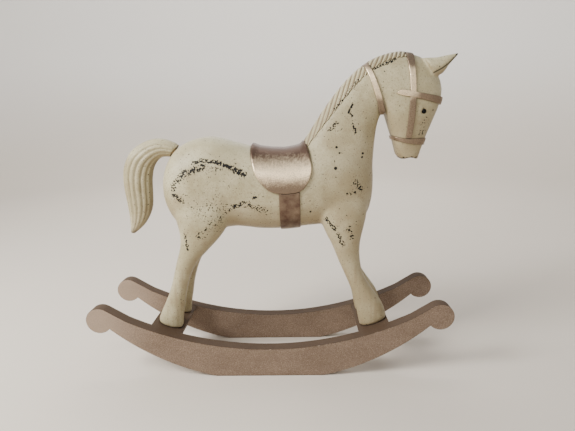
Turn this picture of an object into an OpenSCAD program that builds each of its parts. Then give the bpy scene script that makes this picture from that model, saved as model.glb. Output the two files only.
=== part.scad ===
// Rocking horse ornament: a carved wooden horse that stands on two cross slats
// between a pair of bow rockers. +X is the way the horse faces, +Y is its left
// side, +Z is up, and the origin is on the floor under the middle of the rockers.

/* [Rockers] */
// Length of a rocker, over its two rounded ends
rocker_length = 300; // [280:1:360]
// Thickness of a rocker
rocker_thickness = 9.9; // [7:0.1:12]
// Distance between the middles of the two rockers
rocker_spacing = 64; // [58:1:80]
// Height of a rocker at its middle
rocker_depth = 24.2; // [20:0.1:29]
// Length of the flat under each rocker
foot_flat = 89; // [70:1:110]
// Radius of the rounded knob at each rocker end
knob_radius = 10.8; // [9:0.1:13]
// Height of the knob's middle above the floor
knob_height = 51.3; // [46:0.1:60]

/* [Slats] */
// Distance of each slat's middle from the middle of the rocking horse
slat_place = 87.3; // [82:0.1:92]
// Width of a slat along the rocker
slat_width = 26.5; // [22:0.5:32]
// Thickness of a slat
slat_thickness = 5; // [4:0.1:7]
// How far the slats lie below the rockers' upper edges
slat_drop = 0.5; // [0:0.1:2]
// Diameter of the pins that hold a slat between the rockers
pin_diameter = 2.4; // [1.5:0.1:3]
// Depth of a pin in the rocker and in the slat
pin_depth = 6; // [4:0.5:7]

/* [Horse] */
// Half of the distance between the middles of a left and a right leg
leg_offset = 15; // [13:0.5:17]
// Half of the barrel's width
barrel_half = 27; // [22.5:0.5:32.5]
// Half of the head's width at the cheeks
head_half = 14.5; // [12:0.5:17]
// Half of the thickness of a hoof
hoof_half = 8; // [6.5:0.5:10]
// Diameter of the dowel in each leg
leg_dowel = 6; // [4:0.5:8]
// Diameter of the dowel in the neck
neck_dowel_size = 8; // [5:0.5:10]
// Diameter of the peg at the tail's root
peg_size = 5; // [3:0.5:6]
// Diameter of an eye
eye_size = 3.8; // [2.5:0.1:5]

/* [Tack] */
// Thickness of the saddle
saddle_thickness = 1.8; // [1.2:0.1:3]
// Thickness of the girth strap
girth_thickness = 1.2; // [1:0.1:2]
// Width of the girth strap
girth_width = 16.5; // [12:0.5:20]
// Distance of the girth's middle in front of the middle of the rocking horse
girth_place = 19.8; // [17:0.1:22]
// Thickness of the bridle straps
strap_thickness = 1.1; // [0.8:0.1:2]
// Width of the bridle's cheek straps
strap_width = 4.6; // [3:0.1:6]
// Thickness of the mane over the crest of the neck
mane_thickness = 1.6; // [1:0.1:3]

/* [Hidden] */
$fn = 96;

far = 400;
knob_x = rocker_length / 2 - knob_radius;
rocker_inner = (rocker_spacing - rocker_thickness) / 2;

// The lower edge is an arc from the end of the flat to the knob's middle, and the
// upper edge one from the rocker's middle to the top of the knob
bottom_centre = (knob_x ^ 2 + knob_height ^ 2 - (foot_flat / 2) ^ 2) / (2 * knob_height);
bottom_radius = norm([foot_flat / 2, bottom_centre]);
top_rise = knob_height + knob_radius - rocker_depth;
top_radius = (knob_x ^ 2 + top_rise ^ 2) / (2 * top_rise);
top_centre = rocker_depth + top_radius;

paint = [0.74, 0.71, 0.60];
bronze = [0.62, 0.50, 0.42];
taupe = [0.50, 0.43, 0.36];
wood = [0.80, 0.66, 0.47];
steel = [0.62, 0.62, 0.63];

// Height of the rocker's upper edge at a distance x from its middle
function rim(x) = top_centre - sqrt(top_radius ^ 2 - x ^ 2);

slat_near = slat_place - slat_width / 2 * cos(asin(slat_place / top_radius));
slat_far = slat_place + slat_width / 2 * cos(asin(slat_place / top_radius));
slat_tilt = atan2(rim(slat_far) - rim(slat_near), slat_far - slat_near);
slat_top = (rim(slat_near) + rim(slat_far)) / 2 - slat_drop;

// ---- Lofts -------------------------------------------------------------
// A station is [xa, za, xb, zb, half width, y of its middle]: the ring's two
// ends in the plane of symmetry, and how far it reaches to each side of y. On a
// loft that runs forwards a is on top, on one that runs up a is at the rear, and
// on one that runs back a is underneath, so that the faces always point outwards.

// A point on the smooth curve through b and c, a share t of the way from b to c
function blend(a, b, c, d, t) =
    ((2 * b) + (c - a) * t + (2 * a - 5 * b + 4 * c - d) * t ^ 2
    + (3 * b - a - 3 * c + d) * t ^ 3) / 2;

function smooth(s, steps) = [
    for (i = [0 : len(s) - 2], k = [0 : steps - 1])
        blend(s[max(i - 1, 0)], s[i], s[i + 1], s[min(i + 2, len(s) - 1)], k / steps),
    s[len(s) - 1]
];

function bulge(v, power) = sign(v) * abs(v) ^ (2 / power);

// The points of one ring, grown by grow all round; power 2 is an ellipse, more is squarer
function ring(s, sides, power, grow) =
    let (half = [s[0] - s[2], s[1] - s[3]] / 2,
         size = norm(half),
         up = half * (size + grow) / size,
         middle = [s[0] + s[2], s[1] + s[3]] / 2)
    [for (i = [0 : sides - 1])
        let (a = 360 * i / sides, u = bulge(sin(a), power), v = bulge(cos(a), power))
        [middle[0] + up[0] * u, s[5] + (s[4] + grow) * v, middle[1] + up[1] * u]];

// A solid skinned over the stations from number first to number last
module loft(stations, sides = 28, power = 2.2, grow = 0, steps = 2, first = 0, last = 99) {
    path = smooth(stations, steps);
    rings = [for (i = [first * steps : min(last * steps, len(path) - 1)])
        ring(path[i], sides, power, grow)];
    m = len(rings);
    polyhedron(
        [for (r = rings) each r],
        concat(
            [[for (i = [0 : sides - 1]) i]],
            [for (k = [0 : m - 2], i = [0 : sides - 1])
                let (a = k * sides + i, b = k * sides + (i + 1) % sides)
                each [[a, a + sides, b], [b, a + sides, b + sides]]],
            [[for (i = [sides - 1 : -1 : 0]) (m - 1) * sides + i]]
        ),
        convexity = 8
    );
}

// A flat shape drawn on the plane of symmetry, carried right through the horse
module through() {
    rotate([90, 0, 0])
        linear_extrude(far, center = true)
            children();
}

// The outline of a strap along a path of [x, z, share of the width]
function band(path, width) =
    let (line = smooth(path, 3),
         last = len(line) - 1,
         edge = function (side) [for (i = [0 : last])
             let (ahead = line[min(i + 1, last)] - line[max(i - 1, 0)],
                  across = [-ahead[1], ahead[0]] / norm([ahead[0], ahead[1]]))
             [line[i][0], line[i][1]] + side * across * width * line[i][2] / 2],
         back = edge(-1))
    concat(edge(1), [for (i = [last : -1 : 0]) back[i]]);

// ---- The horse's blocks -------------------------------------------------
// The legs and the neck are doweled to the torso on flat joints: the legs' is
// level, just below the barrel, and the neck's slopes down towards the chest
leg_joint = 117;
neck_joint = [61.2, 0, 176.5];
neck_joint_slope = 26.4;

belly = 118.3;
torso_stations = [
    [-85, 159, -85, 152, 3, 0],
    [-83.5, 169, -83.5, 142, 14, 0],
    [-79.3, 179.5, -79.3, 131, 20, 0],
    [-71.5, 188.7, -71.5, 122, barrel_half - 2, 0],
    [-58, 195.2, -58, 118, barrel_half + 1, 0],
    [-42, 197.2, -42, 119.5, barrel_half + 1, 0],
    [-25, 192.5, -25, belly + 3.5, barrel_half, 0],
    [-6, 187.5, -6, belly + 1, barrel_half, 0],
    [16, 185.3, 16, belly + 1, barrel_half, 0],
    [35, 189.5, 35, belly + 3, barrel_half, 0],
    [52, 196, 52, belly + 4, barrel_half - 1, 0],
    [68, 194, 68, belly + 4, barrel_half - 3, 0],
    [80, 187, 80, belly + 7, barrel_half - 8, 0],
    [86, 177, 86, belly + 19, barrel_half - 15, 0],
    [88, 168, 88, belly + 32, 5, 0],
];
neck_stations = [
    [24, 180, 84, 146, 22, 0],
    [34.5, 193, 87.3, 163, 20, 0],
    [43, 206, 88.3, 180, 17, 0],
    [54, 221.5, 90, 198, 14, 0],
    [67, 237, 93, 210, 12.5, 0],
    [83, 250, 97, 211.5, 13, 0],
    [99, 256, 98.5, 207, head_half, 0],
    [114, 256.6, 100.5, 200, head_half + 0.5, 0],
    [129, 250.4, 102.5, 194, head_half + 0.5, 0],
    [139, 236.5, 103.8, 189.5, head_half, 0],
    [140.4, 222.5, 104.8, 185.5, head_half - 1.3, 0],
    [135, 206.5, 105.9, 181.5, head_half - 3, 0],
    [129.2, 191.5, 107, 178.4, head_half - 4.5, 0],
    [124.2, 175.6, 110, 175.4, head_half - 5.5, 0],
];
ear_stations = [
    [124, 252.6, 133, 238, 6, head_half - 7],
    [132.5, 252.2, 139.2, 240.5, 5.6, head_half - 6.5],
    [140.5, 253.4, 143.2, 246.6, 4, head_half - 5.7],
    [150, 254.8, 149.6, 253.8, 0.6, head_half - 4.9],
];

// A hoof starts below the sloping top of its slat, which cuts it to length
hoof_low = slat_top - 8.5;
hoof_high = slat_top + 6;
foreleg_stations = [
    [slat_place - 9, hoof_low, slat_place + 11, hoof_low, hoof_half, leg_offset],
    [slat_place - 12, hoof_high, slat_place + 12, hoof_high, hoof_half, leg_offset],
    [slat_place - 14.5, 57, slat_place + 7.5, 57, hoof_half - 0.5, leg_offset],
    [69.4, 68.5, 86.8, 68.5, hoof_half - 1, leg_offset],
    [64.4, 81, 79.6, 81, hoof_half - 1, leg_offset],
    [58.8, 94, 76.6, 94, hoof_half, leg_offset],
    [52.8, 109, 76.6, 109, hoof_half + 2, leg_offset],
    [46.5, 122, 79.5, 122, hoof_half + 3.2, leg_offset],
    [43, 140, 82.5, 140, hoof_half + 3, leg_offset - 1],
    [46, 160, 78, 160, hoof_half, leg_offset - 3],
];
hindleg_stations = [
    [-slat_place - 11, hoof_low, 10.5 - slat_place, hoof_low, hoof_half, leg_offset],
    [-slat_place - 8.5, hoof_high, 12 - slat_place, hoof_high, hoof_half, leg_offset],
    [-slat_place - 3.5, 55, 14.3 - slat_place, 55, hoof_half - 0.5, leg_offset],
    [-86, 65, -71.2, 65, hoof_half - 1, leg_offset],
    [-81.6, 77, -67.8, 77, hoof_half - 1, leg_offset],
    [-78.6, 88, -63.2, 88, hoof_half - 0.5, leg_offset],
    [-75.6, 98, -56, 98, hoof_half + 1, leg_offset],
    [-72.2, 110, -44, 110, hoof_half + 3, leg_offset],
    [-72.5, 122, -34, 122, hoof_half + 4.5, leg_offset],
    [-75, 138, -29, 138, hoof_half + 5, leg_offset],
    [-70, 160, -36, 160, hoof_half + 2, leg_offset - 3],
];
tail_stations = [
    [-78, 180.5, -70, 191, 5, 0],
    [-86, 181.9, -80, 195.6, 6.5, 0],
    [-91, 178.3, -91, 196.9, 8, 0],
    [-94, 173.3, -104, 192.6, 9, 0],
    [-95.5, 168, -114, 185, 9.5, 0],
    [-96.5, 161, -120, 173, 9.5, 0],
    [-96.7, 151, -121, 158, 9, 0],
    [-97.4, 140, -119.6, 144, 8, 0],
    [-101, 131.5, -118.7, 132, 7, 0],
    [-107.5, 122.3, -118.8, 123, 5, 0],
    [-117, 114.6, -119.8, 115, 1, 0],
];

module torso_block(grow = 0, first = 0, last = 99) {
    loft(torso_stations, grow = grow, first = first, last = last);
}

module neck_block(grow = 0, first = 0, last = 99) {
    loft(neck_stations, power = 2.6, grow = grow, first = first, last = last);
}

module on_side(side) {
    if (side > 0) children();
    else mirror([0, 1, 0]) children();
}

// A dowel half in a leg and half in the torso
module leg_pin(side, end) {
    translate([end > 0 ? 64 : -60, side * leg_offset, leg_joint])
        cylinder(d = leg_dowel, h = 28, center = true);
}

module neck_pin() {
    translate(neck_joint)
        rotate([0, neck_joint_slope, 0])
            cylinder(d = neck_dowel_size, h = 40, center = true);
}

module tail_pin() {
    translate([-78, 0, 186])
        rotate([0, -68, 0])
            cylinder(d = peg_size, h = 20, center = true);
}

// A screw up through the middle of a slat into a hoof, its head flush underneath
module hoof_screw(side, end) {
    translate([end * slat_place, side * leg_offset, slat_top])
        rotate([0, -end * slat_tilt, 0]) {
            translate([0, 0, -slat_thickness])
                cylinder(d1 = 5, d2 = 2.2, h = 1.6);
            translate([0, 0, -slat_thickness])
                cylinder(d = 2.2, h = slat_thickness + 12);
        }
}

// Everything above a level plane
module half_space() {
    translate([-far / 2, -far / 2, 0])
        cube(far);
}

module above_slat(end) {
    translate([end * slat_place, 0, slat_top])
        rotate([0, -end * slat_tilt, 0])
            half_space();
}

module above_neck_joint() {
    translate(neck_joint)
        rotate([0, neck_joint_slope, 0])
            half_space();
}

module above_leg_joint() {
    translate([0, 0, leg_joint])
        half_space();
}

// The upper end of a leg, which is carved with the torso as a thigh or a shoulder
module thigh(stations, side) {
    intersection() {
        on_side(side)
            loft(stations, sides = 24, first = 6);
        above_leg_joint();
    }
}

module torso() {
    color(paint)
        difference() {
            union() {
                torso_block();
                neck_block(last = 2);
                for (side = [-1, 1]) {
                    thigh(foreleg_stations, side);
                    thigh(hindleg_stations, side);
                }
            }
            above_neck_joint();
            for (side = [-1, 1], end = [-1, 1])
                leg_pin(side, end);
            neck_pin();
            tail_pin();
        }
}

module neck_and_head() {
    color(paint)
        difference() {
            intersection() {
                union() {
                    neck_block();
                    torso_block(first = 8);
                    for (side = [-1, 1])
                        on_side(side)
                            loft(ear_stations, sides = 16, power = 2);
                }
                above_neck_joint();
            }
            neck_pin();
            mouth();
            for (side = [-1, 1])
                eye(side);
        }
}

// The hollow between the chin and the nose
module mouth() {
    translate([117.4, 0, 167.3])
        rotate([90, 0, 0])
            cylinder(r = 9.3, h = 60, center = true);
}

module eye(side) {
    translate([124.8, side * (head_half - 0.35 * eye_size), 212.5])
        sphere(d = eye_size);
}

module leg(stations, side, end) {
    color(paint)
        difference() {
            intersection() {
                on_side(side)
                    loft(stations, sides = 24, last = 8);
                above_slat(end);
            }
            above_leg_joint();
            leg_pin(side, end);
            hoof_screw(side, end);
        }
}

module tail() {
    color(paint)
        difference() {
            loft(tail_stations, sides = 20);
            torso_block(last = 4);
            tail_pin();
        }
}

// ---- Tack ---------------------------------------------------------------
crown_path = [
    [115.2, 262, 1.3], [114, 255, 1.3], [114.6, 246, 1.1], [115.2, 239, 1],
    [115.9, 226, 1], [115.5, 210, 1.1], [114.2, 192, 1],
];
brow_path = [
    [103.6, 226.6, 0.25], [107, 227, 0.9], [115, 225.6, 0.95],
    [125, 223.4, 1], [136, 221, 1.2], [146, 218.8, 1.3],
];
nose_path = [
    [96, 194.4, 0.6], [104, 192, 0.6], [112, 190, 0.7],
    [120, 189.4, 0.95], [128, 189, 1.2], [136, 188.6, 1.3],
];
throat_path = [
    [77, 257, 0.8], [80.2, 249.6, 0.8], [84.7, 239.4, 0.85],
    [88.9, 228, 0.9], [92, 218, 0.9], [93.8, 212, 0.9],
];
saddle_outline = [
    [-9, 206], [-9.8, 190], [-9.6, 180], [-6, 166.5], [3, 155.5], [14, 152.5], [28, 154],
    [35, 162], [37.4, 172], [35.5, 182.5], [32.2, 191], [31, 206],
];
mane_edge = [
    [32, 186], [43, 199.5], [55, 213.5], [66, 226.5], [78, 239.5], [90, 248.3], [101, 252.8], [118, 255],
];

module band_shape(path, width = strap_width) {
    polygon(band(path, width));
}

// A strap that lies on the head, between two stations of its loft
module head_strap(path, thickness, first, last) {
    intersection() {
        neck_block(thickness, first, last);
        through()
            band_shape(path);
    }
}

module crown_strap() {
    color(bronze)
        difference() {
            head_strap(crown_path, strap_thickness, 6, 12);
            neck_block(0, 6, 12);
            through()
                band_shape(nose_path);
        }
}

// The brow band passes over the two cheek straps
module brow_band() {
    color(bronze)
        difference() {
            head_strap(brow_path, strap_thickness * 1.6, 6, 12);
            neck_block(0, 6, 12);
            intersection() {
                neck_block(strap_thickness, 6, 12);
                through()
                    band_shape(crown_path);
            }
        }
}

module nose_band() {
    color(bronze)
        difference() {
            head_strap(nose_path, strap_thickness, 7, 13);
            neck_block(0, 7, 13);
        }
}

module throat_strap() {
    color(bronze)
        difference() {
            head_strap(throat_path, mane_thickness, 3, 7);
            neck_block(0, 3, 7);
        }
}

// The mane lies over the crest from the saddle to the poll, cut through by the throat strap
module mane(first, last) {
    color(paint)
        difference() {
            intersection() {
                neck_block(mane_thickness, first, last);
                through()
                    polygon(concat(smooth(mane_edge, 2), [[118, 300], [0, 300], [0, 186]]));
                through()
                    children();
            }
            neck_block(0, first, last);
            torso_block(0, 8, 11);
        }
}

// The side of the throat strap towards the withers, or the one towards the poll
module beside_throat(side) {
    difference() {
        square(far);
        band_shape(throat_path);
        polygon(concat(
            [for (p = smooth(throat_path, 3)) [p[0], p[1]]],
            [[side > 0 ? 0 : far, 0], [side > 0 ? 0 : far, far], [throat_path[0][0], far]]
        ));
    }
}

module mane_lower() {
    mane(0, 7)
        difference() {
            beside_throat(-1);
            polygon(smooth(saddle_outline, 3));
        }
}

module mane_upper() {
    mane(3, 8)
        difference() {
            beside_throat(1);
            band_shape(crown_path);
            translate([crown_path[2][0], 0])
                square(far);
        }
}

module saddle() {
    color(bronze)
        difference() {
            intersection() {
                torso_block(saddle_thickness, 6, 10);
                through()
                    polygon(smooth(saddle_outline, 3));
            }
            torso_block(0, 6, 10);
            neck_block(0, 0, 3);
        }
}

module girth_strap() {
    color(bronze)
        difference() {
            intersection() {
                torso_block(girth_thickness, 7, 9);
                translate([girth_place - girth_width / 2, -far / 2, 0])
                    cube([girth_width, far, saddle_outline[5][1] + 1]);
            }
            torso_block(0, 7, 9);
            through()
                polygon(smooth(saddle_outline, 3));
        }
}

// ---- Rockers and slats ---------------------------------------------------
// The points of an arc about a middle, from one angle to another
function arc(middle, radius, from, to, steps) = [
    for (i = [0 : steps])
        let (a = from + (to - from) * i / steps)
        middle + radius * [cos(a), sin(a)]
];

function heading(v) = atan2(v[1], v[0]);

knob = [knob_x, knob_height];
lower_middle = [0, bottom_centre];
upper_middle = [0, top_centre];

// Where the lower edge runs into the underside of the knob
reach = norm(knob - lower_middle);
along = (bottom_radius ^ 2 - knob_radius ^ 2 + reach ^ 2) / (2 * reach);
toward = (knob - lower_middle) / reach;
notch = lower_middle + along * toward + sqrt(bottom_radius ^ 2 - along ^ 2) * [toward[1], -toward[0]];

// Where the upper edge leaves its arc for a straight line up to the knob
shoulder = [knob_x - 2 * knob_radius, rim(knob_x - 2 * knob_radius)];
knob_lean = heading(knob - shoulder) + asin(knob_radius / norm(knob - shoulder));

// The front half of a rocker's outline, from the floor round the knob to its middle
half_bow = concat(
    arc(
        lower_middle, bottom_radius,
        heading([foot_flat / 2, -bottom_centre]), heading(notch - lower_middle), 24
    ),
    arc(knob, knob_radius, heading(notch - knob), knob_lean + 90, 30),
    arc(upper_middle, top_radius, heading(shoulder - upper_middle), -90, 28)
);

module bow_outline() {
    polygon(concat(
        half_bow,
        [for (i = [len(half_bow) - 2 : -1 : 0]) [-half_bow[i][0], half_bow[i][1]]]
    ));
}

module slat_pin(side, end, place) {
    translate([end * slat_place, side * rocker_inner, slat_top])
        rotate([0, -end * slat_tilt, 0])
            translate([place * slat_width / 3.4, 0, -slat_thickness / 2])
                rotate([90, 0, 0])
                    cylinder(d = pin_diameter, h = 2 * pin_depth, center = true);
}

module rocker(side) {
    color(taupe)
        difference() {
            translate([0, side * rocker_spacing / 2, 0])
                rotate([90, 0, 0])
                    linear_extrude(rocker_thickness, center = true)
                        bow_outline();
            for (end = [-1, 1], place = [-1, 1])
                slat_pin(side, end, place);
        }
}

module slat(end) {
    color(taupe)
        difference() {
            translate([end * slat_place, 0, slat_top])
                rotate([0, -end * slat_tilt, 0])
                    translate([-slat_width / 2, -rocker_inner, -slat_thickness])
                        cube([slat_width, 2 * rocker_inner, slat_thickness]);
            for (side = [-1, 1], place = [-1, 1])
                slat_pin(side, end, place);
            for (side = [-1, 1])
                hoof_screw(side, end);
        }
}

module slat_pins() {
    color(wood)
        for (side = [-1, 1], end = [-1, 1], place = [-1, 1])
            slat_pin(side, end, place);
}

module hoof_screws() {
    color(steel)
        for (side = [-1, 1], end = [-1, 1])
            hoof_screw(side, end);
}

module leg_dowels() {
    color(wood)
        for (side = [-1, 1], end = [-1, 1])
            leg_pin(side, end);
}

module eye_bead(side) {
    color([0.03, 0.03, 0.03])
        eye(side);
}

torso();
neck_and_head();
leg(foreleg_stations, 1, 1);  // foreleg_left
leg(foreleg_stations, -1, 1);  // foreleg_right
leg(hindleg_stations, 1, -1);  // hindleg_left
leg(hindleg_stations, -1, -1);  // hindleg_right
tail();
mane_lower();
mane_upper();
eye_bead(1);  // eye_left
eye_bead(-1);  // eye_right
saddle();
girth_strap();
crown_strap();
brow_band();
nose_band();
throat_strap();
rocker(1);  // rocker_left
rocker(-1);  // rocker_right
slat(1);  // slat_front
slat(-1);  // slat_rear
slat_pins();
hoof_screws();
leg_dowels();
color(wood) neck_pin();  // neck_dowel
color(wood) tail_pin();  // tail_peg
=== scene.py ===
"""A carved and painted rocking horse ornament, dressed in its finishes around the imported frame."""

import math

import bpy
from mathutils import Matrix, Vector
from mathutils.bvhtree import BVHTree


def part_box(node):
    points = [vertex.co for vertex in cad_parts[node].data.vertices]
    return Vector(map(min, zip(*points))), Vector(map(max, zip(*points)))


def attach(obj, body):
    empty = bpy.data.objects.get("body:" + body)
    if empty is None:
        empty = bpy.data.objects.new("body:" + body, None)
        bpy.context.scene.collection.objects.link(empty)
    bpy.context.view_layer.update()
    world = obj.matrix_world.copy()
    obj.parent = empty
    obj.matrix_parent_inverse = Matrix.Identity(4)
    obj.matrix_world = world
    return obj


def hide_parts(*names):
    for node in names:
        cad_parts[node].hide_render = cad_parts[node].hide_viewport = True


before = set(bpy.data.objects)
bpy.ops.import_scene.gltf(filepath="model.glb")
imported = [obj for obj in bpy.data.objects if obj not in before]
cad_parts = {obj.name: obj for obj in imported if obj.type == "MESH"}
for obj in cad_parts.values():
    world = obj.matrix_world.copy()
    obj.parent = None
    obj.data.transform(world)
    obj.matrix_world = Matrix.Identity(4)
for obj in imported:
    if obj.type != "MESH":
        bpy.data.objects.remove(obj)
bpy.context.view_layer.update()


# ---- Torso, neck and legs -----------------------------------------------------
# Six blocks of wood, doweled together on flat joints and then carved and sanded as
# one, so that the thighs and the neck run into the barrel without a step. All six
# carry the same chalky sage paint, chipped to the dark primer where hands rub.
MM = 0.001
CARVING_GRID = 0.9
CARVING_SWELL = 0.15
SANDING = 12
BLENDING = 50
HOOF_SANDING = 16
SLAT_THICKNESS = 5
NECK_JOINT_SLOPE = math.radians(26.4)
BLOCKS = ["torso", "neck_and_head", "foreleg_left", "foreleg_right", "hindleg_left", "hindleg_right"]


def pick(*pieces):
    """Leaves only these pieces selected, with the first one active."""
    bpy.ops.object.select_all(action="DESELECT")
    for piece in pieces:
        piece.select_set(True)
    bpy.context.view_layer.objects.active = pieces[0]


def in_edit_mode(piece, *steps):
    """Runs mesh operators, each given as its name and its settings, on one whole piece."""
    pick(piece)
    bpy.ops.object.mode_set(mode="EDIT")
    bpy.ops.mesh.select_all(action="SELECT")
    for name, settings in steps:
        getattr(bpy.ops.mesh, name)(**settings)
    bpy.ops.object.mode_set(mode="OBJECT")


def copy_of(name, *nodes):
    """One new piece with the shape of these frame nodes, their loose triangles merged."""
    copies = []
    for node in nodes:
        copy = bpy.data.objects.new(name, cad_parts[node].data.copy())
        copy.data.materials.clear()
        bpy.context.scene.collection.objects.link(copy)
        copies.append(copy)
    pick(*copies)
    if len(copies) > 1:
        bpy.ops.object.join()
    if copies[0].data.has_custom_normals:
        bpy.ops.mesh.customdata_custom_splitnormals_clear()
    in_edit_mode(copies[0], ("remove_doubles", {"threshold": 0.01 * MM}))
    return copies[0]


def worked(piece, kind, **settings):
    """Adds a modifier to a piece and applies it."""
    pick(piece)
    modifier = piece.modifiers.new(kind.title(), kind)
    for name, value in settings.items():
        setattr(modifier, name, value)
    bpy.ops.object.modifier_apply(modifier=modifier.name)


def mark(piece, group, share):
    """A vertex group whose weight at each point is share(x, y, z), in millimetres."""
    made = piece.vertex_groups.new(name=group)
    for vertex in piece.data.vertices:
        made.add([vertex.index], share(*(vertex.co / MM)), "REPLACE")


def ramp(value, low, high):
    """0 at low, 1 at high and a straight line between; high may be the smaller."""
    return min(1.0, max(0.0, (value - low) / (high - low)))


class Wire:
    """A socket in a material; sums and products of wires add the nodes that work them out."""

    def __init__(self, tree, socket=None):
        self.tree = tree
        self.socket = socket

    def node(self, kind, settings, sockets, out=0):
        made = self.tree.nodes.new("ShaderNode" + kind)
        for name, value in settings.items():
            setattr(made, name, value)
        for name, value in sockets.items():
            if isinstance(value, Wire):
                self.tree.links.new(value.socket, made.inputs[name])
            else:
                made.inputs[name].default_value = value
        return Wire(self.tree, made.outputs[out])

    def math(self, operation, *values):
        return self.node("Math", {"operation": operation}, dict(enumerate(values)))

    def __add__(self, other):
        return self.math("ADD", self, other)

    def __sub__(self, other):
        return self.math("SUBTRACT", self, other)

    def __mul__(self, other):
        return self.math("MULTIPLY", self, other)

    def __rsub__(self, other):
        return self.math("SUBTRACT", other, self)

    __radd__ = __add__
    __rmul__ = __mul__

    def or_more(self, other):
        return self.math("MAXIMUM", self, other)

    def rising(self, low, high):
        """0 below low, 1 above high and a smooth step between; high below low turns it over."""
        settings = {"interpolation_type": "SMOOTHSTEP"}
        return self.node("MapRange", settings, {"Value": self, "From Min": low, "From Max": high})

    def between(self, plain, other):
        """One colour where this wire is 0, the other where it is 1."""
        return self.node("Mix", {"data_type": "RGBA"}, {0: self, 6: plain, 7: other}, 2)

    def noise(self, size, detail=3, roughness=0.55):
        """Cloudy noise over this place, its blobs about size millimetres across."""
        sockets = {"Vector": self, "Scale": 1 / size, "Detail": detail, "Roughness": roughness}
        return self.node("TexNoise", {}, sockets)

    def stretched(self, x, y, z):
        """This place with each axis drawn out by a factor, for streaks and brush marks."""
        return self.node("VectorMath", {"operation": "DIVIDE"}, {0: self, 1: (x, y, z)})

    def axis(self, name):
        return self.node("SeparateXYZ", {}, {0: self}, name)

    def off_line(self, start, end):
        """Distance from the stroke between two points of the side view."""
        flat = self.node("VectorMath", {"operation": "MULTIPLY"}, {0: self, 1: (1, 0, 1)})
        start = Vector((start[0], 0, start[1]))
        along = Vector((end[0], 0, end[1])) - start
        out = flat.node("VectorMath", {"operation": "SUBTRACT"}, {0: flat, 1: start})
        unit = along / max(along.length_squared, 1e-6)
        dot = out.node("VectorMath", {"operation": "DOT_PRODUCT"}, {0: out, 1: unit}, "Value")
        share = dot.node("Clamp", {}, {0: dot})
        foot = share.node("VectorMath", {"operation": "SCALE"}, {0: along, "Scale": share})
        gap = foot.node("VectorMath", {"operation": "SUBTRACT"}, {0: out, 1: foot})
        return gap.node("VectorMath", {"operation": "LENGTH"}, {0: gap}, "Value")


class Finish:
    """A new material: its place in millimetres, its shader, and what is laid on it."""

    def __init__(self, name, metallic=0.0, specular=0.5):
        self.material = bpy.data.materials.new(name)
        self.material.use_nodes = True
        tree = self.material.node_tree
        self.shader = tree.nodes["Principled BSDF"]
        self.shader.inputs["Metallic"].default_value = metallic
        self.shader.inputs["Specular IOR Level"].default_value = specular
        metres = Wire(tree).node("TexCoord", {}, {}, "Object")
        self.place = metres.node("VectorMath", {"operation": "SCALE"}, {0: metres, "Scale": 1 / MM})
        self.facing = metres.node("NewGeometry", {}, {}, "Normal")
        self.ridge = metres.node("NewGeometry", {}, {}, "Pointiness")
        # Painted shade: ambient occlusion within 2.6 mm marks creases and the edges against other parts, for
        # the finishes to darken.
        shelter = metres.node("AmbientOcclusion", {"samples": 8}, {"Distance": 2.6 * MM}, "AO")
        self.crease_shade = shelter.rising(0.82, 0.3)

    def lay(self, colour, roughness, relief, depth):
        """Feeds the shader; relief is a height from 0 to 1 that stands depth millimetres high."""
        bump = relief.node("Bump", {}, {"Strength": 0.6, "Distance": depth * MM, "Height": relief}, "Normal")
        for name, wire in (("Base Color", colour), ("Roughness", roughness), ("Normal", bump)):
            self.material.node_tree.links.new(wire.socket, self.shader.inputs[name])


SAGE = (0.395, 0.345, 0.20, 1)
SAGE_LIGHT = (0.56, 0.51, 0.33, 1)
SAGE_WARM = (0.29, 0.215, 0.12, 1)
SHADE_AND_WASH_BROWN = (0.08, 0.055, 0.035, 1)
PRIMER_AND_SHADE_BLACK = (0.006, 0.005, 0.004, 1)
LOCK_TAN = (0.22, 0.155, 0.095, 1)
THIN_PAINT = (0.17, 0.13, 0.085, 1)

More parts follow.
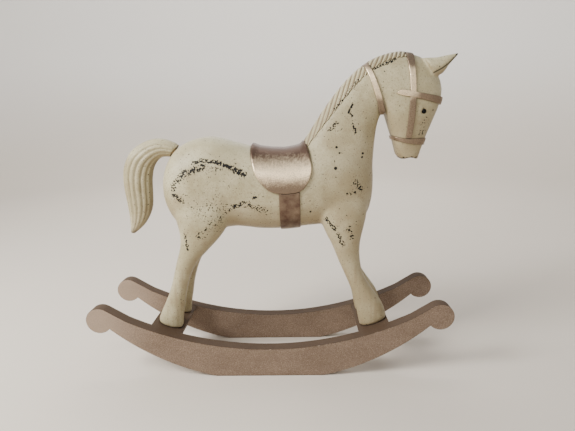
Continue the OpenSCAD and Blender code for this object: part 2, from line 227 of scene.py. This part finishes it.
# Strokes where the paint has chipped, in the side view: their two ends, reach and force
CHIPPED = [
    ((-72.0, 158.5), (-62.2, 171.0), 4.5, 0.75),
    ((-61.0, 169.5), (-46.5, 175.0), 4.0, 1.05),
    ((-56, 177.5), (-46, 180.0), 2.0, 1.1),
    ((-48.6, 179.6), (-35.6, 177.9), 2.4, 1.1),
    ((-46.0, 174.0), (-34.0, 172.0), 4.0, 0.5),
    ((-35.6, 177.7), (-25.1, 173.4), 2.2, 1.2),
    ((-25.1, 173.4), (-15.0, 168.0), 3.4, 1.1),
    ((-71.5, 153.0), (-65.0, 147.8), 3.6, 0.9),
    ((-45.0, 143.4), (-29.4, 141.0), 7.0, 0.4),
    ((-24.5, 142.6), (-16.0, 145.8), 3.0, 0.9),
    ((-9.0, 149.7), (-6.5, 149.9), 1.6, 1.1),
    ((-16.0, 145.4), (0.7, 138.0), 4.0, 0.65),
    ((-29.4, 140.0), (-38.0, 131.0), 3.6, 0.6),
    ((-38.0, 131.0), (-52.5, 119.6), 5.5, 0.5),
    ((-65.6, 120.5), (-64.2, 108.3), 2.2, 0.9),
    ((-62.0, 150.0), (-40.0, 128.0), 9.0, 0.3),
    ((48.1, 131.0), (55.5, 122.6), 2.4, 1.15),
    ((58.0, 118.0), (62.0, 109.8), 3.0, 0.8),
    ((66.0, 124.0), (68.5, 116.0), 3.2, 0.75),
    ((71.6, 160.0), (76.0, 154.0), 3.4, 0.85),
    ((65.5, 151.0), (71.0, 151.4), 2.2, 0.8),
    ((52.0, 199.8), (58.4, 206.0), 2.2, 0.75),
    ((69.9, 219.0), (66.8, 213.2), 1.3, 1.3),
    ((66.8, 213.2), (69.8, 210.4), 1.3, 1.3),
    ((70.5, 204.0), (72.2, 197.5), 2.2, 0.85),
    ((86.0, 245.2), (102.2, 251.3), 1.8, 0.95),
    ((56.4, 216.2), (74.3, 236.8), 1.6, 0.6),
    ((127.0, 205.0), (124.0, 196.0), 4.0, 0.5),
    ((106.5, 176.0), (121.5, 176.6), 1.8, 0.8),
    ((148.6, 254.0), (150.5, 255.0), 2.2, 1.2),
]
# Single chips: the place in the side view and the radius
NICKS = [
    ((55.9, 171.3), 1.3), ((57.1, 187.0), 0.9), ((59.3, 182.6), 0.7), ((77.9, 181.6), 0.9),
    ((77.3, 178.6), 0.8), ((36.1, 137.1), 0.7), ((132.1, 213.2), 0.5), ((66.4, 122.1), 0.9),
    ((-7.7, 149.7), 0.8), ((-23.9, 142.9), 1.0), ((113.8, 246.3), 0.8),
]
# The slit of the ear, where the shade of its hollow is painted as a dark line
EAR_SLIT_SHADE = [(131.5, 241), (137.3, 244), (141.9, 247.2), (149.8, 254.5)]


def paint(name, hair=None, wash_and_shade=None):
    """Sage paint with painted shade on undersides, on the low front and in creases, a painted dark line at
    the ear slits and a painted highlight on upward faces; hair gives the share of darker tan between locks,
    the last hook that of dark brown, part own colour and part painted shade.
    """
    finish = Finish(name, specular=0.45)
    place = finish.place
    cloud = place.noise(26, 4)
    grain = place.noise(1.3, 4, 0.8)
    streak = place.stretched(1, 1, 14).noise(2.6, 2) * place.axis("Z").rising(112, 84)
    tone = cloud.rising(0.34, 0.68).between(SAGE, SAGE_LIGHT)
    tone = (streak.rising(0.42, 0.7) * 0.5).between(tone, SAGE_WARM)
    tone = (place.noise(9, 5, 0.7).rising(0.5, 0.72) * 0.42).between(tone, SAGE_WARM)
    tone = (grain.rising(0.47, 0.68) * 0.55).between(tone, SAGE_WARM)
    # Painted shade: faces turned down darken warm.
    tone = (finish.facing.axis("Z").rising(0.1, -0.8) * 0.75).between(tone, SAGE_WARM)
    # Painted shade: the low front, chest, forelegs and lower head, darkens warm.
    low_front_shade = place.axis("X").rising(10, 95) * place.axis("Z").rising(228, 172)
    tone = (low_front_shade * 0.5).between(tone, SAGE_WARM)
    # Painted highlight: faces turned up lighten.
    tone = (finish.facing.axis("Z").rising(0.1, 0.9) * 0.35).between(tone, SAGE_LIGHT)
    if hair:
        tone = hair(finish).between(tone, LOCK_TAN)
    if wash_and_shade:
        tone = wash_and_shade(finish).between(tone, SHADE_AND_WASH_BROWN)
    force = finish.ridge.rising(0.56, 0.66) * 0.5
    for start, end, reach, strength in CHIPPED:
        near = place.off_line(start, end).rising(reach, reach * 0.3) * strength
        force = force.or_more(near)
    flaws = place.noise(1.4, 2, 0.5) + force * 0.235
    chips_and_slit_shade = flaws.rising(0.695, 0.71)
    for spot, radius in NICKS:
        rough_edge = place.off_line(spot, spot) + grain * 1.6
        chips_and_slit_shade = chips_and_slit_shade.or_more(rough_edge.rising(radius + 1.0, radius + 0.7))
    tone = (flaws.rising(0.63, 0.70) * 0.5).between(tone, THIN_PAINT)
    # Painted shade: a dark line along each ear's slit, laid with the chips.
    for start, end in zip(EAR_SLIT_SHADE, EAR_SLIT_SHADE[1:]):
        chips_and_slit_shade = chips_and_slit_shade.or_more(place.off_line(start, end).rising(0.75, 0.35) * 0.8)
    # Painted shade: creases and the edges along laid-on parts darken brown.
    tone = (finish.crease_shade * 0.6).between(tone, SHADE_AND_WASH_BROWN)
    finish.lay(chips_and_slit_shade.between(tone, PRIMER_AND_SHADE_BLACK), 0.3 + grain * 0.25 + chips_and_slit_shade * 0.4, grain * 1.3 - chips_and_slit_shade, 0.3)
    return finish.material


def shown(piece, material, slot, *nodes):
    """Gives a finished piece its paint and its body, and hides the nodes that it stands for; its slot is not
    used.
    """
    pick(piece)
    bpy.ops.object.shade_smooth_by_angle(angle=math.radians(50))
    piece.data.materials.clear()
    piece.data.materials.append(material)
    piece.vertex_groups.clear()
    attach(piece, "root")
    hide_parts(*nodes)


# The middle of the eye in the side view
EYE = (124.8, 212.5)

# The blocks as one carving: sanded all over except at the ears, muzzle and eyes,
# and sanded far more where the legs and the neck run into the barrel
carving = copy_of("carving", *BLOCKS)
worked(carving, "DISPLACE", strength=CARVING_SWELL * MM, mid_level=0)
worked(carving, "REMESH", mode="VOXEL", voxel_size=CARVING_GRID * MM)


def crisp(x, y, z):
    """1 at the ears, the muzzle and the eye sockets, where the carving keeps its edges."""
    ear = ramp(x, 136, 142)
    muzzle = ramp(z, 186, 180) * ramp(x, 98, 101)
    socket = ramp(math.dist((x, z), EYE), 5, 3)
    return max(ear, muzzle, socket)


mark(carving, "sanded", lambda x, y, z: 1 - 0.85 * crisp(x, y, z))
mark(carving, "blended", lambda x, y, z: ramp(z, 92, 108) * ramp(x + 0.6 * z, 222, 200) * ramp(z, 216, 200))
slat_low, slat_high = (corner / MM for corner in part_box("slat_front"))
slat_rise = (slat_high.z - slat_low.z - SLAT_THICKNESS) / (slat_high.x - slat_low.x)
mark(carving, "hoof_edge", lambda x, y, z: ramp(z - slat_high.z - (abs(x) - slat_high.x) * slat_rise, 4, 1))
worked(carving, "SMOOTH", factor=0.5, iterations=SANDING, vertex_group="sanded")
worked(carving, "SMOOTH", factor=0.5, iterations=BLENDING, vertex_group="blended")
worked(carving, "SMOOTH", factor=0.5, iterations=HOOF_SANDING, vertex_group="hoof_edge")

neck_pin_low, neck_pin_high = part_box("neck_dowel")
neck_joint = (neck_pin_low + neck_pin_high) / 2
neck_up = Vector((math.sin(NECK_JOINT_SLOPE), 0, math.cos(NECK_JOINT_SLOPE)))
leg_joint = Vector((0, 0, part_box("foreleg_left")[1].z))
horse_paint = paint("horse_paint")


def sawn(point, normal, keep_above):
    """A saw cut through the whole piece, its face closed, that keeps one of the two sides."""
    sides = {"clear_inner": keep_above, "clear_outer": not keep_above}
    return "bisect", {"plane_co": point, "plane_no": normal, "use_fill": True, **sides}


for block in BLOCKS:
    piece = carving.copy()
    piece.data = carving.data.copy()
    piece.name = "carved_" + block
    bpy.context.scene.collection.objects.link(piece)
    if block == "torso":
        cuts = [sawn(neck_joint, neck_up, False), sawn(leg_joint, (0, 0, 1), True)]
    elif block == "neck_and_head":
        cuts = [sawn(neck_joint, neck_up, True)]
    else:
        cuts = [
            sawn(leg_joint, (0, 0, 1), False),
            sawn((0, 0, 0), (1, 0, 0), block.startswith("fore")),
            sawn((0, 0, 0), (0, 1, 0), block.endswith("left")),
        ]
    for cut in cuts:
        in_edit_mode(piece, cut)
    shown(piece, horse_paint, "horse_paint", block)

# The carved surface that the mane, the saddle and the straps lie on
surface = BVHTree.FromObject(carving, bpy.context.evaluated_depsgraph_get())


# ---- Eyes ---------------------------------------------------------------------
# Two turned beads pressed into shallow sockets, lacquered satin black. The frame's
# beads have the right shape, so they only get their lacquer here.
LACQUER = (0.002, 0.002, 0.002, 1)
LACQUER_DUST = (0.008, 0.007, 0.006, 1)


def lacquer():
    finish = Finish("eye_lacquer", specular=0.1)
    dust = finish.place.noise(0.8, 4)
    tone = dust.rising(0.4, 0.8).between(LACQUER, LACQUER_DUST)
    finish.lay(tone, 0.35 + dust * 0.2, dust, 0.02)
    return finish.material


eye_black = lacquer()
for bead in ("eye_left", "eye_right"):
    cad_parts[bead].data.materials.clear()
    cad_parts[bead].data.materials.append(eye_black)


# ---- Mane ---------------------------------------------------------------------
# Two lengths of low relief over the crest, parted by the throat strap, with locks
# cut across them as slanting flutes. The hollows are coloured a darker tan.
LONGEST_EDGE = 2 * MM
SUNK = 0.2 * MM


def laid_on_horse(name, node, thickness, grid, crest=lambda x, y, z: 1):
    """The outer face of a frame node laid on the carved surface, thickened most on its crest."""
    piece = copy_of(name, node)
    pick(piece)
    bpy.ops.object.mode_set(mode="EDIT")
    bpy.ops.mesh.select_all(action="DESELECT")
    bpy.ops.object.mode_set(mode="OBJECT")
    for face in piece.data.polygons:
        outward = surface.find_nearest(face.center)[1]
        face.select = face.normal.dot(outward) < 0.6
    bpy.ops.object.mode_set(mode="EDIT")
    bpy.ops.mesh.delete(type="FACE")
    bpy.ops.object.mode_set(mode="OBJECT")
    while True:
        longest = 0
        for edge in piece.data.edges:
            a, b = (piece.data.vertices[i].co for i in edge.vertices)
            edge.select = (a - b).length > LONGEST_EDGE
            longest = max(longest, (a - b).length)
        for face in piece.data.polygons:
            face.select = False
        if longest <= LONGEST_EDGE:
            break
        bpy.ops.object.mode_set(mode="EDIT")
        bpy.ops.mesh.select_mode(type="EDGE")
        bpy.ops.mesh.subdivide(number_cuts=1)
        bpy.ops.object.mode_set(mode="OBJECT")
    worked(piece, "SHRINKWRAP", target=carving, wrap_method="NEAREST_SURFACEPOINT")
    mark(piece, "crest", crest)
    worked(piece, "SOLIDIFY", thickness=thickness + SUNK, offset=1 - 2 * SUNK / thickness,
           vertex_group="crest", thickness_vertex_group=0.45)
    worked(piece, "REMESH", mode="VOXEL", voxel_size=grid)
    worked(piece, "SMOOTH", factor=0.5, iterations=4)
    return piece


FLUTE = 2.65
FLUTE_DEPTH = 1.0
MANE_THICKNESS = 1.5
MANE_GRID = 0.45
# The two lengths and the angle in degrees at which their locks lean
MANES = [("mane_lower", 70), ("mane_upper", 60)]


def flutes(lean, spacing):
    """An empty whose X runs across locks that lean by an angle, spaced so many metres apart."""
    guide = bpy.data.objects.new("flute_guide", None)
    bpy.context.scene.collection.objects.link(guide)
    guide.rotation_euler = (0, math.radians(90 - lean), 0)
    guide.scale = (spacing * 10 / math.tau, 1000, 1000)
    bpy.context.view_layer.update()
    return guide


def flute_tan(lean):
    """Darker tan between locks, where the guide's wave is low."""
    across = Vector((math.sin(math.radians(lean)), 0, -math.cos(math.radians(lean)))) * math.tau / FLUTE

    def tan_share(finish):
        product = {"operation": "DOT_PRODUCT"}
        turns = finish.place.node("VectorMath", product, {0: finish.place, 1: across}, "Value")
        return turns.math("SINE", turns).rising(0.3, -0.7) * 0.8

    return tan_share


waves = bpy.data.textures.new("mane_flutes", "WOOD")
waves.wood_type = "BANDS"
waves.noise_basis_2 = "SIN"
for part, lean in MANES:
    mane = laid_on_horse("carved_" + part, part, MANE_THICKNESS * MM, MANE_GRID * MM,
                         lambda x, y, z: ramp(abs(y), 11, 4))
    mark(mane, "flank", lambda x, y, z: ramp(abs(y), 1.5, 5))
    guide = flutes(lean, FLUTE * MM)
    worked(mane, "DISPLACE", texture=waves, texture_coords="OBJECT", texture_coords_object=guide,
           strength=FLUTE_DEPTH * MM, mid_level=0.9, vertex_group="flank")
    bpy.data.objects.remove(guide)
    shown(mane, paint(part + "_paint", hair=flute_tan(lean)), "horse_paint", part)


# ---- Tail ---------------------------------------------------------------------
# One block pegged into the rump and carved as a bundle of fourteen strands that run
# round the bow and close to a point. The face towards the horse is darkened brown,
# partly a brown wash and partly painted shade, and the grooves hold painted shade.
STRANDS = 14
STRAND_OVERLAP = 0.56
CORE_INSET = 1.3
TAIL_GRID = 0.55
# Outer edge, inner edge and half width of the tail, from the rump to the point
TAIL = [
    ((-73, 192), (-79.5, 181), 5),
    ((-80, 195.6), (-86, 181.9), 6.5),
    ((-91, 196.9), (-91, 178.3), 8),
    ((-104, 192.6), (-94, 173.3), 9),
    ((-114, 185), (-95.5, 168), 9.5),
    ((-120, 173), (-96.5, 161), 9.5),
    ((-121, 158), (-96.7, 151), 9),
    ((-119.6, 144), (-97.4, 140), 8),
    ((-118.7, 132), (-101, 131.5), 7),
    ((-118.8, 123), (-107.5, 122.3), 5),
    ((-119.6, 116.5), (-116, 116), 1.6),
]


def strand(angle):
    """One tapered tube along the tail, on the rim of its oval section at an angle."""
    bpy.ops.object.select_all(action="DESELECT")
    bpy.ops.curve.primitive_nurbs_path_add()
    tube = bpy.context.object
    curve = tube.data
    spline = curve.splines[0]
    spline.points.add(len(TAIL) - len(spline.points))
    for point, (outer, inner, half) in zip(spline.points, TAIL):
        middle = (Vector(outer) + Vector(inner)) / 2
        reach = (Vector(outer) - Vector(inner)).length / 2
        radius = math.pi * (reach + half) / STRANDS * STRAND_OVERLAP
        along = (Vector(outer) - middle) * (1 - radius / reach) * math.sin(angle)
        spread = (half - radius) * math.cos(angle)
        point.co = (*(Vector((middle.x + along.x, spread, middle.y + along.y)) * MM), 1)
        point.radius = radius
    spline.use_endpoint_u = True
    spline.order_u = 3
    curve.bevel_depth = MM
    curve.bevel_resolution = 3
    curve.use_fill_caps = True
    bpy.ops.object.convert(target="MESH")
    return tube


tail = copy_of("carved_tail", "tail")
worked(tail, "DISPLACE", strength=-CORE_INSET * MM, mid_level=0)
strands = [strand(math.tau * (k + 0.5) / STRANDS) for k in range(STRANDS)]
pick(tail, *strands)
bpy.ops.object.join()
worked(tail, "REMESH", mode="VOXEL", voxel_size=TAIL_GRID * MM)
worked(tail, "SMOOTH", factor=0.5, iterations=1)


def brown_wash_and_shade(finish):
    """The share of dark brown: on the inner side of the bow part its own colour and part painted shade, at
    the tip its own colour, and in the grooves painted shade.
    """
    # Part painted shade: the inner side of the bow darkens.
    inner = finish.facing.axis("X").rising(0.35, 0.95) * 0.55
    tip = finish.place.axis("Z").rising(122, 116) * 0.7
    # Painted shade: dark brown in the grooves between strands.
    groove_shade = finish.ridge.rising(0.495, 0.455) * 0.6
    return inner.or_more(tip).or_more(groove_shade)


shown(tail, paint("tail_paint", wash_and_shade=brown_wash_and_shade), "horse_paint", "tail")


# ---- Saddle and girth ---------------------------------------------------------
# A saddle and its girth in low relief on the barrel, gilded with champagne bronze.
# The seat is rubbed dark in streaks and the girth goes brown. The flap's foot goes
# brown and leaves a bright band above it: a painted reflection of floor and light.
BRONZE = (1.0, 0.81, 0.54, 1)
BRONZE_DARK = (0.10, 0.058, 0.043, 1)
BRONZE_BROWN = (0.34, 0.225, 0.16, 1)
SEAM_SHADE = (0.03, 0.02, 0.015, 1)
SADDLE_THICKNESS = 1.8
SADDLE_GRID = 0.5
RIM_HEIGHT = 1.0
GIRTH_THICKNESS = 1.2
GIRTH_GRID = 0.45


def bronze(name, tarnish_and_sheen):
    """Bronze paint; its second argument gives the share of dark brown from a finish, its specks and its
    smears, which is tarnish and wear and also shapes the painted highlights and reflections.
    """
    finish = Finish(name, metallic=0.6, specular=0.12)
    place = finish.place
    speck = place.noise(0.9, 3, 0.75)
    smear = place.noise(7, 4)
    tone = (speck.rising(0.46, 0.68) * 0.35).between(BRONZE, BRONZE_BROWN)
    tone = tarnish_and_sheen(finish, speck, smear).between(tone, BRONZE_DARK)
    # Painted shade: creases and the edges against the horse darken.
    tone = finish.crease_shade.between(tone, SEAM_SHADE)
    tone = (speck.rising(0.69, 0.74) * 0.8).between(tone, PRIMER_AND_SHADE_BLACK)
    finish.lay(tone, 0.26 + speck * 0.2, speck, 0.14)
    return finish.material


def seat_wear_and_reflection(finish, speck, smear):
    """Dark in streaks at the top, where a seat rubs; the brown foot and the bright band left above it are a
    painted reflection of the floor and the light.
    """
    height = finish.place.axis("Z")
    brushed = finish.place.stretched(1, 1, 9).noise(1.5, 2)
    seat = (height + brushed * 10).rising(175, 189) * 0.97
    # Painted reflection: the flap's foot darkens, leaving the bright band above it.
    foot = (height - speck * 12 - smear * 8).rising(161, 146) * 0.85
    return seat.or_more(foot)


saddle = laid_on_horse("carved_saddle", "saddle", SADDLE_THICKNESS * MM, SADDLE_GRID * MM)
mark(saddle, "rim", lambda x, y, z: ramp(z, 178, 187) * max(ramp(x, -4, -9), ramp(x, 29, 33)))
worked(saddle, "DISPLACE", strength=RIM_HEIGHT * MM, mid_level=0, vertex_group="rim")
worked(saddle, "SMOOTH", factor=0.5, iterations=3)
shown(saddle, bronze("saddle_bronze", seat_wear_and_reflection), "tack_bronze", "saddle")
girth = laid_on_horse("carved_girth", "girth_strap", GIRTH_THICKNESS * MM, GIRTH_GRID * MM)
girth_bronze = bronze("girth_bronze", lambda finish, speck, smear: 0.72 + smear * 0.4)
shown(girth, girth_bronze, "tack_bronze", "girth_strap")


# ---- Bridle -------------------------------------------------------------------
# Four flat straps in low relief on the head: crown and cheek strap in one, the brow
# band that crosses over it, the nose band, and the throat strap behind the jaw.
STRAP_GRID = 0.35
# Each strap and its thickness
STRAPS = [("crown_strap", 1.1), ("brow_band", 1.5), ("nose_band", 1.1), ("throat_strap", 1.6)]


def strap_tone_and_highlight(finish, speck, smear):
    """Dark brown over the crest and below the brow, with a painted highlight in a band across the cheeks."""
    height = finish.place.axis("Z") + smear * 8
    # Painted highlight: bright bronze in a band across the cheeks, where the light would catch them.
    cheek_highlight = height.rising(224, 230) * height.rising(252, 247) * finish.place.axis("X").rising(122, 117)
    return (0.72 - cheek_highlight * 0.75) + speck * 0.2


strap_bronze = bronze("strap_bronze", strap_tone_and_highlight)
for part, thickness in STRAPS:
    strap = laid_on_horse("carved_" + part, part, thickness * MM, STRAP_GRID * MM)
    shown(strap, strap_bronze, "tack_bronze", part)
bpy.data.objects.remove(carving)


# ---- Rockers ------------------------------------------------------------------
# Two bow-shaped boards with round knobs at both ends, sawn from flat stock. Their
# arrises are eased and the taupe paint is worn on the edges. The top is darkened as
# painted shade, and the paint is palest at the horse's tail end as painted light.
TAUPE = (0.185, 0.132, 0.095, 1)
TAUPE_CLOUD = (0.23, 0.166, 0.122, 1)
TAUPE_PALE = (0.44, 0.34, 0.26, 1)
TAUPE_DARK = (0.085, 0.057, 0.038, 1)
TAUPE_TOP_SHADE = (0.06, 0.037, 0.023, 1)
EDGE_DARK = (0.045, 0.03, 0.021, 1)
EDGE_RUBBED = (0.55, 0.44, 0.33, 1)
CORNER_SHADE = (0.05, 0.035, 0.025, 1)
ROCKER_EASE = 0.9


def taupe(name, edge):
    """The rockers' speckled paint, darkened on top as painted shade and paled at the tail end as painted
    light; edge gives the eased arrises, dark and scuffed pale in spots.
    """
    finish = Finish(name, metallic=0.0, specular=0.06)
    place = finish.place
    speck = place.noise(0.8, 3, 0.8)
    cloud = place.stretched(2.2, 1, 1).noise(12, 4, 0.65)
    tone = cloud.rising(0.3, 0.75).between(TAUPE, TAUPE_CLOUD)
    tone = (speck.rising(0.5, 0.7) * 0.6).between(tone, TAUPE_PALE)
    tone = (speck.rising(0.5, 0.32) * 0.6).between(tone, TAUPE_DARK)
    # Painted light: the paint pales towards the horse's tail end.
    tone = (place.axis("X").rising(-90, -140) * 0.55).between(tone, TAUPE_PALE)
    # Painted shade: faces turned up darken.
    tone = (finish.facing.axis("Z").rising(0.5, 0.9) * 0.85).between(tone, TAUPE_TOP_SHADE)
    if edge:
        rub = (place.noise(2.2, 3) + speck * 0.5).rising(0.82, 1.0)
        tone = rub.between(EDGE_DARK, EDGE_RUBBED)
    # Painted shade: creases and corners between boards darken.
    tone = (finish.crease_shade * 0.8).between(tone, CORNER_SHADE)
    finish.lay(tone, 0.42 + speck * 0.25, speck, 0.14)
    return finish.material


taupe_face = taupe("rocker_taupe", False)
taupe_edge = taupe("worn_edge", True)


def eased(name, node, ease):
    """A frame board with its arrises rounded and scuffed."""
    board = copy_of(name, node)
    in_edit_mode(board, ("dissolve_limited", {"angle_limit": math.radians(1)}))
    shown(board, taupe_face, "rocker_paint", node)
    board.data.materials.append(taupe_edge)
    worked(board, "BEVEL", width=ease * MM, segments=3, limit_method="ANGLE",
           angle_limit=math.radians(40), material=1)


for side in ("left", "right"):
    eased("bow_rocker_" + side, "rocker_" + side, ROCKER_EASE)


# ---- Slats --------------------------------------------------------------------
# Two flat slats between the rockers, pinned at both ends, that the hooves stand on.
# They have the rockers' paint, and their arrises are eased less.
SLAT_EASE = 0.5

for end in ("front", "rear"):
    eased("cross_slat_" + end, "slat_" + end, SLAT_EASE)


# ---- Dowels, pins, peg and screws ---------------------------------------------
# What holds the blocks together and never shows: beech dowels with their end grain,
# and plain steel screws up through the slats into the hooves.
BEECH = (0.50, 0.34, 0.19, 1)
BEECH_LIGHT = (0.64, 0.46, 0.28, 1)
BEECH_RING = (0.36, 0.22, 0.11, 1)
STEEL = (0.56, 0.56, 0.58, 1)
STEEL_DULL = (0.36, 0.36, 0.37, 1)


def beech():
    finish = Finish("beech")
    fibre = finish.place.stretched(1, 1, 12).noise(1.2, 4)
    ring = finish.place.stretched(1, 1, 30).noise(3, 2)
    tone = fibre.rising(0.35, 0.7).between(BEECH, BEECH_LIGHT)
    tone = (ring.rising(0.5, 0.6) * 0.4).between(tone, BEECH_RING)
    finish.lay(tone, 0.55 + fibre * 0.2, fibre, 0.1)
    return finish.material


def steel():
    finish = Finish("screw_steel", metallic=1.0)
    thread = finish.place.stretched(8, 8, 1).noise(0.7, 2)
    tone = thread.rising(0.3, 0.7).between(STEEL_DULL, STEEL)
    finish.lay(tone, 0.3 + thread * 0.2, thread, 0.15)
    return finish.material


beech_wood = beech()
for part in ("leg_dowels", "neck_dowel", "tail_peg", "slat_pins"):
    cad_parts[part].data.materials.clear()
    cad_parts[part].data.materials.append(beech_wood)
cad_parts["hoof_screws"].data.materials.clear()
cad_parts["hoof_screws"].data.materials.append(steel())


# ---- Floor, light and camera --------------------------------------------------
# The ornament stands on a plain pale floor that sweeps up into a wall all round, in
# soft studio light: a strong lamp near the tail, high and a little in front, a weak
# one straight in front, one behind, and one turned to the wall.
FLAT = 1.2
SWEEP = 0.6
WALL = 0.7
SWEEP_STEPS = 10
FLOOR = (0.72, 0.655, 0.57, 1)
FLOOR_CLOUD = (0.75, 0.685, 0.60, 1)
WALL_PALE = (0.93, 0.91, 0.87, 1)
AIR = (0.90, 0.93, 1.0, 1)
AIR_STRENGTH = 0.36
WARM_WHITE = (1.0, 0.98, 0.96)

bpy.ops.object.select_all(action="DESELECT")
bpy.ops.mesh.primitive_circle_add(vertices=96, radius=FLAT, fill_type="NGON")
floor = bpy.context.object
floor.name = "floor"
bpy.ops.object.mode_set(mode="EDIT")
bpy.ops.mesh.select_mode(type="EDGE")
bpy.ops.mesh.select_all(action="SELECT")
reach = FLAT
height = 0
for step in range(1, SWEEP_STEPS + 1):
    angle = math.radians(90) * step / SWEEP_STEPS
    wider = FLAT + SWEEP * math.sin(angle)
    higher = SWEEP * (1 - math.cos(angle))
    bpy.ops.mesh.extrude_edges_move(TRANSFORM_OT_translate={"value": (0, 0, higher - height)})
    bpy.ops.transform.resize(value=(wider / reach, wider / reach, 1), center_override=(0, 0, 0))
    reach = wider
    height = higher
bpy.ops.mesh.extrude_edges_move(TRANSFORM_OT_translate={"value": (0, 0, WALL)})
bpy.ops.object.mode_set(mode="OBJECT")
bpy.ops.object.shade_smooth()
floor_finish = Finish("pale_floor", specular=0.2)
floor_cloud = floor_finish.place.noise(220, 3)
floor_tone = floor_cloud.between(FLOOR, FLOOR_CLOUD)
floor_tone = floor_finish.place.axis("Z").rising(0, 500).between(floor_tone, WALL_PALE)
floor_finish.lay(floor_tone, 0.7 + floor_cloud * 0.1, floor_cloud, 0.05)
floor.data.materials.append(floor_finish.material)

world = bpy.data.worlds.new("pale_air")
bpy.context.scene.world = world
world.use_nodes = True
world.node_tree.nodes["Background"].inputs["Color"].default_value = AIR
world.node_tree.nodes["Background"].inputs["Strength"].default_value = AIR_STRENGTH


def lamp(name, place, target, size, power, tint):
    """A square soft lamp that faces a target."""
    bpy.ops.object.light_add(type="AREA", location=place)
    light = bpy.context.object
    light.name = name
    light.data.size = size
    light.data.energy = power
    light.data.color = tint
    light.rotation_euler = (Vector(target) - Vector(place)).to_track_quat("-Z", "Y").to_euler()


lamp("window_lamp", (-0.60, -0.34, 0.58), (0, 0, 0.14), 0.3, 11, (1.0, 0.985, 0.95))
lamp("front_lamp", (0.05, -1.0, 0.62), (0, 0, 0.13), 0.4, 2.2, WARM_WHITE)
lamp("back_lamp", (-0.1, 1.0, 0.9), (0, 0, 0.13), 0.9, 4, WARM_WHITE)
lamp("wall_lamp", (0, 0.5, 1.3), (0, 1.8, 0.5), 0.8, 16, WARM_WHITE)

# The camera's place in metres, how far it looks down and to the right, and its lean
CAMERA_PLACE = (0.0286, -0.35915, 0.2116)
PITCH = math.radians(12.96)
YAW = math.radians(-1.86)
ROLL = math.radians(-1.504)
SENSOR = 36
LENS = 27.05

bpy.ops.object.camera_add(location=CAMERA_PLACE)
camera = bpy.context.object
camera.rotation_mode = "QUATERNION"
ahead = Vector((math.sin(YAW) * math.cos(PITCH), math.cos(YAW) * math.cos(PITCH), -math.sin(PITCH)))
across = Vector((math.cos(YAW), -math.sin(YAW), 0))
over = across.cross(ahead)
rolled = math.cos(ROLL) * across + math.sin(ROLL) * over
upright = rolled.cross(ahead)
camera.rotation_quaternion = ahead.to_track_quat("-Z", "Y")
turn = camera.rotation_quaternion.to_matrix()
turn.col[0], turn.col[1], turn.col[2] = rolled, upright, -ahead
camera.rotation_quaternion = turn.to_quaternion()
camera.data.sensor_width = SENSOR
camera.data.lens = LENS
bpy.context.scene.camera = camera
